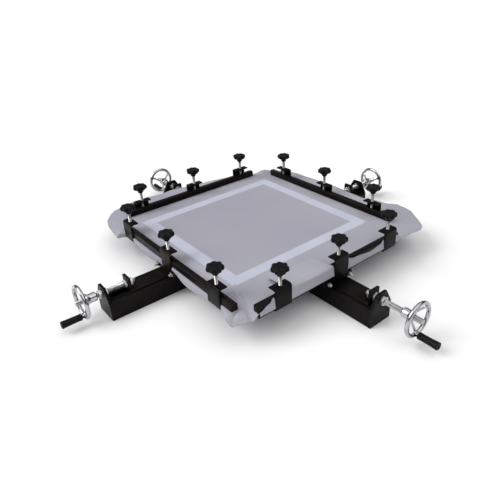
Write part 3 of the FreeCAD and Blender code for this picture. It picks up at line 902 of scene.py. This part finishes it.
def hang_drop(side, u):
    """How far the front mesh hangs below the jaw and out from it, and how near a free end it is."""
    past = [u - centre - CLAMP_HALF for centre in side.clamps if u > centre + CLAMP_HALF]
    drop = 10 * MM + 9 * MM * smoothstep(min(past, default=1.0) / (60 * MM))
    bulge = 7 * MM * smoothstep(min(abs(u - centre) - CLAMP_HALF for centre in side.clamps) / (80 * MM))
    at_right = smoothstep((u - side.u1 + 45 * MM) / (45 * MM))
    at_left = smoothstep((side.u0 + 12 * MM - u) / (12 * MM))
    for flare, end_drop, end_bulge in ((at_right, 16.5 * MM, 18 * MM), (at_left, 19 * MM, 26 * MM)):
        drop += (end_drop - drop) * flare
        bulge += (end_bulge - bulge) * flare
    return drop, bulge, max(at_right, at_left)


def tail_point(side, u, share):
    """Point of the loose mesh outside a side's bars: share 0 at the bars, 1 at the hem."""
    if side.name == "front":
        drop, bulge, flare = hang_drop(side, u)
        out = 2.5 * MM * smoothstep(share * 5) + bulge * math.sin(share * math.pi / 2) ** 0.9
        ripple = 1.2 * MM * math.sin(u / (19 * MM)) * share * (1 - flare)
        return point(u, side.outer + out + ripple, side.clamp_z - drop * share ** (1 + 0.5 * flare))
    reach = through(REACH[side.name], u)
    start = side.row + CLAMP_BACK
    v = start + (side.outer + reach - start) * share
    wave = math.sin(u / (31 * MM) + 1.3) + 0.6 * math.sin(u / (17 * MM))
    z = side.clamp_z - DROOP[side.name] * share ** 1.6 + 1.6 * MM * wave * share ** 1.3
    return point(u, v, z)


def build_side_sheet(side):
    """Mesh from the frame's edge to the bars, through the jaw, and out to its hem."""
    stops = [side.u0]
    for centre in side.clamps:
        stops += [centre - CLAMP_HALF, centre + CLAMP_HALF]
    stops.append(side.u1)
    us = spans(stops, CLOTH_STEP)
    shares = [0.0, 0.03, 0.06, 0.1] + [0.1 + 0.9 * k / 12 for k in range(1, 13)]
    rows = []
    for share in shares:
        row = []
        for u in us:
            a = (u - side.u0) / (side.u1 - side.u0)
            row.append((slope_point(side, share, a), 1.0))
        rows.append(row)
    rows.append([(point(u, side.outer, side.clamp_z), 1.0) for u in us])
    jaw_row = len(rows) - 1
    has_tail = side.name != "right"
    if has_tail:
        for k in range(0 if side.name != "front" else 1, TAIL_ROWS + 1):
            share = k / TAIL_ROWS
            row = []
            for u in us:
                place = tail_point(side, u, share)
                end = tail_point(side, u, 1.0)
                row.append((place, (end - place).length))
            rows.append(row)

    def keep(row, column):
        u = (us[column] + us[column + 1]) / 2
        at_clamp = min(abs(u - centre) for centre in side.clamps) < CLAMP_HALF
        if not at_clamp:
            return True
        return row < jaw_row if side.name == "front" else row != jaw_row

    piece = cloth_piece(side.name + "_mesh_sheet", grid_cells(rows, keep), side.turn)
    side.seams = [[row[0] for row in rows], [row[-1] for row in rows]]
    start = side.world(0.0, side.panel_edge)
    end = side.world(0.0, side.inner)
    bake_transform(piece)
    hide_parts(side.name + "_mesh_edge")


TURN_UP = [(0.0, 0.0), (2.5, -2.0), (3.6, -7.5), (3.2, -4.0), (2.2, 3.0), (1.2, 12.0), (0.8, 19.0),
           (-1.0, 22.9), (-8.0, 23.2), (-20.0, 23.0), (-36.0, 20.5), (-62.0, 16.8), (-92.0, 13.6)]


def along_path(path, share):
    """Point at a share of a path's length, on a smooth curve through its points."""
    lengths = [0.0]
    for first, second in zip(path, path[1:]):
        lengths.append(lengths[-1] + math.dist(first, second))
    target = share * lengths[-1]
    for i in range(len(path) - 1):
        if target <= lengths[i + 1] + 1e-12:
            t = (target - lengths[i]) / (lengths[i + 1] - lengths[i])
            break
    before, start = path[max(i - 1, 0)], path[i]
    end, after = path[i + 1], path[min(i + 2, len(path) - 1)]
    return tuple(
        0.5 * (2 * start[n] + (end[n] - before[n]) * t
               + (2 * before[n] - 5 * start[n] + 4 * end[n] - after[n]) * t * t
               + (3 * start[n] - before[n] - 3 * end[n] + after[n]) * t ** 3)
        for n in range(2))


def build_turned_up(side):
    """Loose mesh outside the right jaw, turned up and laid back over the upper bar."""
    first, second, third = side.clamps
    gap = CLAMP_HALF
    spans_of = [
        (side.u0 + 2 * MM, first - gap, [(0.0, 0.16), (0.6, 0.24), (1.0, 0.34)]),
        (first + gap, second - gap, [(0.0, 1.0), (1.0, 1.0)]),
        (second + gap, third - gap, [(0.0, 0.36), (0.12, 0.27), (0.6, 0.2), (0.9, 0.24), (1.0, 0.33)]),
        (third + gap, side.u1, [(0.0, 0.3), (1.0, 0.2)]),
    ]
    path = [(side.outer + out * MM, side.clamp_z + up * MM) for out, up in TURN_UP]
    cells = []
    for u_start, u_end, cover in spans_of:
        us = spans([u_start, u_end], 8 * MM)
        rows = []
        count = 36
        for k in range(count + 1):
            row = []
            for u in us:
                along = (u - u_start) / (u_end - u_start)
                limit = through(cover, along)
                v, z = along_path(path, limit * k / count)
                sway = 0.5 * MM * math.sin(u / (23 * MM)) * smoothstep(k / count * 2)
                row.append((point(u, v + sway, z + abs(sway)), (1 - k / count) * limit * 0.19))
            rows.append(row)
        cells += grid_cells(rows)
    piece = cloth_piece("right_mesh_turned_up", cells, side.turn)
    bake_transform(piece)


# ---- loose corners of the mesh: (x, y, z) in mm, from one side's hem to the other's, at rest ----
# A hem is the first side's half, the point where the halves meet, and the second side's half.
# bend is how far along the diagonal, as a share, the stretched mesh ends and the loose mesh starts.
CORNERS = [
    {"name": "near", "sides": ("front", "right"), "bend": 0.80,
     "hem": [[(343, -362, 72), (354, -359, 71), (364, -350, 72)], (374, -334, 75),
             [(380, -319, 77), (386, -304, 80), (391, -290, 84)]]},
    {"name": "right", "sides": ("right", "rear"), "bend": 0.62,
     "hem": [[(391, 283, 88), (391, 305, 88), (392, 337, 87)], (396, 367, 86),
             [(395, 392, 85), (381, 419, 85), (356, 440, 85), (331, 454, 86), (305, 463, 86)]]},
    {"name": "far", "sides": ("rear", "left"), "bend": 0.70,
     "hem": [[(-305, 418, 90), (-334, 392, 89)], (-354, 350, 103),
             [(-378, 318, 90), (-394, 283, 86)]]},
    {"name": "left", "sides": ("left", "front"), "bend": 0.60,
     "hem": [[(-470, -283, 86), (-443, -315, 85), (-408, -343, 84)], (-358, -361, 82),
             [(-304, -367, 79), (-271, -360, 77)]]},
]


def through_points(points, share):
    """Point at a share of the way along a smooth curve through 3-D points."""
    count = len(points) - 1
    place = min(share * count, count - 1e-9)
    i = int(place)
    t = place - i
    p0, p1 = points[max(i - 1, 0)], points[i]
    p2, p3 = points[i + 1], points[min(i + 2, count)]
    return 0.5 * (2 * p1 + (p2 - p0) * t + (2 * p0 - 5 * p1 + 4 * p2 - p3) * t * t
                  + (3 * p1 - p0 - 3 * p2 + p3) * t ** 3)


def build_corner_half(corner, side, seam, hem, diagonal_end, mirror):
    """Half of a loose corner: from a side's seam to the corner's own diagonal."""
    turn = Matrix.Rotation(side.turn, 3, "Z")
    seam = [turn @ place for place, _ in seam]
    origin = seam[0]
    count = len(seam)
    lengths = [0.0]
    for first, second in zip(seam, seam[1:]):
        lengths.append(lengths[-1] + (second - first).length)
    shares = [length / lengths[-1] for length in lengths]
    bend = corner["bend"]
    bend_z = side.clamp_z - 1.5 * MM

    def diagonal(share):
        place = origin.lerp(diagonal_end, share)
        if share < bend:
            place.z = MESH_TOP + (bend_z - MESH_TOP) * smoothstep(share / bend) ** 0.8
        else:
            rest = (share - bend) / (1 - bend)
            place.z = bend_z + (diagonal_end.z - bend_z) * rest ** 1.3
        return place

    hem_points = [seam[-1]] + hem[1:-1] + [diagonal_end]
    steps = 16
    rows = []
    for k in range(steps + 1):
        t = k / steps
        edge = through_points(hem_points, t)
        straight = seam[-1].lerp(diagonal_end, t)
        row = []
        for place, share in zip(seam, shares):
            mixed = place.lerp(diagonal(share), t) + (edge - straight) * share ** 1.5
            fold = math.sin(2 * math.pi * 1.5 * t) * math.sin(math.pi * t)
            mixed.z += 1.8 * MM * fold * share ** 1.5
            far = (1 - share) * (edge - origin).length
            row.append((mixed, far))
        rows.append(row)
    if mirror:
        rows.reverse()
    piece = cloth_piece(corner["name"] + "_corner_mesh_" + side.name, grid_cells(rows))
    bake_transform(piece)
    return piece


def area_of(piece):
    return sum(polygon.area for polygon in piece.data.polygons)


def extents_along(piece, along):
    """Size of a piece in plan, along a direction and across it."""
    across = Vector((-along.y, along.x))
    sizes = []
    for axis in (along, across):
        steps = [axis.dot(vertex.co.to_2d()) for vertex in piece.data.vertices]
        sizes.append(max(steps) - min(steps))
    return sizes


def build_corners():
    by_name = {side.name: side for side in SIDES}
    for corner in CORNERS:
        to_metres = [[Vector(p) * MM for p in part] for part in (corner["hem"][0], corner["hem"][2])]
        middle = Vector(corner["hem"][1]) * MM
        first = by_name[corner["sides"][0]]
        second = by_name[corner["sides"][1]]
        halves = [
            (first, first.seams[1], to_metres[0] + [middle], True),
            (second, second.seams[0], to_metres[1][::-1] + [middle], False),
        ]
        for side, seam, hem, mirror in halves:
            piece = build_corner_half(corner, side, seam, hem, middle, mirror)
            corner_of_panel = Matrix.Rotation(side.turn, 3, "Z") @ seam[0][0]
            length, width = extents_along(piece, (middle - corner_of_panel).to_2d().normalized())
            area = area_of(piece)
            width = max(width, area / length / 0.95)


def join_normals(pieces):
    """Gives vertices that several sheets share one normal, so that no seam shows."""
    total = {}
    for piece in pieces:
        for polygon in piece.data.polygons:
            for index in polygon.vertices:
                key = tuple(round(c * 1e5) for c in piece.data.vertices[index].co)
                total[key] = total.get(key, Vector()) + polygon.normal * polygon.area
    for piece in pieces:
        normals = []
        for vertex in piece.data.vertices:
            key = tuple(round(c * 1e5) for c in vertex.co)
            normal = total.get(key, Vector((0, 0, 1)))
            normals.append(normal.normalized() if normal.length > 0 else Vector((0, 0, 1)))
        piece.data.normals_split_custom_set_from_vertices(normals)


# ---------------------------------------------------------------- stage

SKY_STRENGTH = 1.0
KEY_STRENGTH = 1.85
FILL_STRENGTH = 0.5


def build_stage():
    bm = bmesh.new()
    reach = 30.0
    corners = [Vector((-reach, -reach, 0)), Vector((reach, -reach, 0)), Vector((reach, reach, 0)),
               Vector((-reach, reach, 0))]
    bm.faces.new([bm.verts.new(c) for c in corners])
    mesh = bpy.data.meshes.new("floor")
    bm.to_mesh(mesh)
    bm.free()
    floor = bpy.data.objects.new("floor", mesh)
    bpy.context.scene.collection.objects.link(floor)
    material, tree, shader = new_material("floor")
    shader.inputs["Base Color"].default_value = (0.92, 0.92, 0.92, 1)
    shader.inputs["Roughness"].default_value = 0.9
    shader.inputs["Specular IOR Level"].default_value = 0.1
    mesh.materials.append(material)
    world = bpy.data.worlds.new("studio")
    world.use_nodes = True
    tree = world.node_tree
    split = add_node(tree, "ShaderNodeSeparateXYZ")
    tree.links.new(add_node(tree, "ShaderNodeTexCoord").outputs["Generated"], split.inputs["Vector"])
    sky = grey_ramp(tree, split.outputs["Z"],
                    [(0.0, 1.0), (0.06, 1.0), (0.2, 0.08), (0.56, 0.08), (0.74, 1.0)])
    background = tree.nodes["Background"]
    tree.links.new(sky, background.inputs["Color"])
    background.inputs["Strength"].default_value = SKY_STRENGTH
    bpy.context.scene.world = world
    bpy.context.scene.view_settings.view_transform = "Standard"
    for name, place, softness, strength in (
        ("key", (-0.9, -1.5, 1.5), 40.0, KEY_STRENGTH),
        ("fill", (1.5, 0.5, 2.5), 60.0, FILL_STRENGTH),
    ):
        light = bpy.data.lights.new(name, "SUN")
        light.angle = math.radians(softness)
        light.energy = strength
        lamp = bpy.data.objects.new(name, light)
        lamp.location = place
        aim = -Vector(place)
        lamp.rotation_mode = "QUATERNION"
        lamp.rotation_quaternion = aim.to_track_quat("-Z", "Y")
        bpy.context.scene.collection.objects.link(lamp)


def build_camera():
    azimuth = math.radians(CAMERA_AZIMUTH)
    elevation = math.radians(CAMERA_ELEVATION)
    roll = math.radians(CAMERA_ROLL)
    back = Vector((math.sin(azimuth) * math.cos(elevation), -math.cos(azimuth) * math.cos(elevation),
                   math.sin(elevation)))
    right = Vector((math.cos(azimuth), math.sin(azimuth), 0.0))
    up = back.cross(right)
    rolled_right = right * math.cos(roll) + up * math.sin(roll)
    rolled_up = up * math.cos(roll) - right * math.sin(roll)
    data = bpy.data.cameras.new("camera")
    data.lens = CAMERA_LENS
    data.sensor_width = CAMERA_SENSOR
    data.shift_x, data.shift_y = CAMERA_SHIFT
    data.clip_start = 0.01
    data.clip_end = 50.0
    camera = bpy.data.objects.new("camera", data)
    turn = Matrix((rolled_right, rolled_up, back)).transposed()
    camera.matrix_world = Matrix.Translation(CAMERA_PLACE) @ turn.to_4x4()
    bpy.context.scene.collection.objects.link(camera)
    bpy.context.scene.camera = camera


# ---------------------------------------------------------------- everything together

for side in SIDES:
    screw = side.box("lead_screw")["z"]
    side.screw_z = (screw[0] + screw[1]) / 2
    along_y = side.name in ("front", "rear")
    side.panel_edge = PANEL_Y if along_y else PANEL_X
    side.panel_half = PANEL_X if along_y else PANEL_Y

build_camera()
build_base()
build_feed_nuts()
wheel = wheel_mesh(SIDES[0])
for side in SIDES:
    build_bars(side)
    for number, u in enumerate(side.clamps, start=1):
        build_clamp(side, number, u)
        build_knob(side, number, u)
    build_screw(side)
    build_lock_nuts(side)
    build_wheel(side, wheel)
    build_grip(side)
    build_bolts(side)
    build_side_sheet(side)
build_turned_up(SIDES[1])
build_panel()
build_corners()
join_normals(SHEETS)
build_stage()
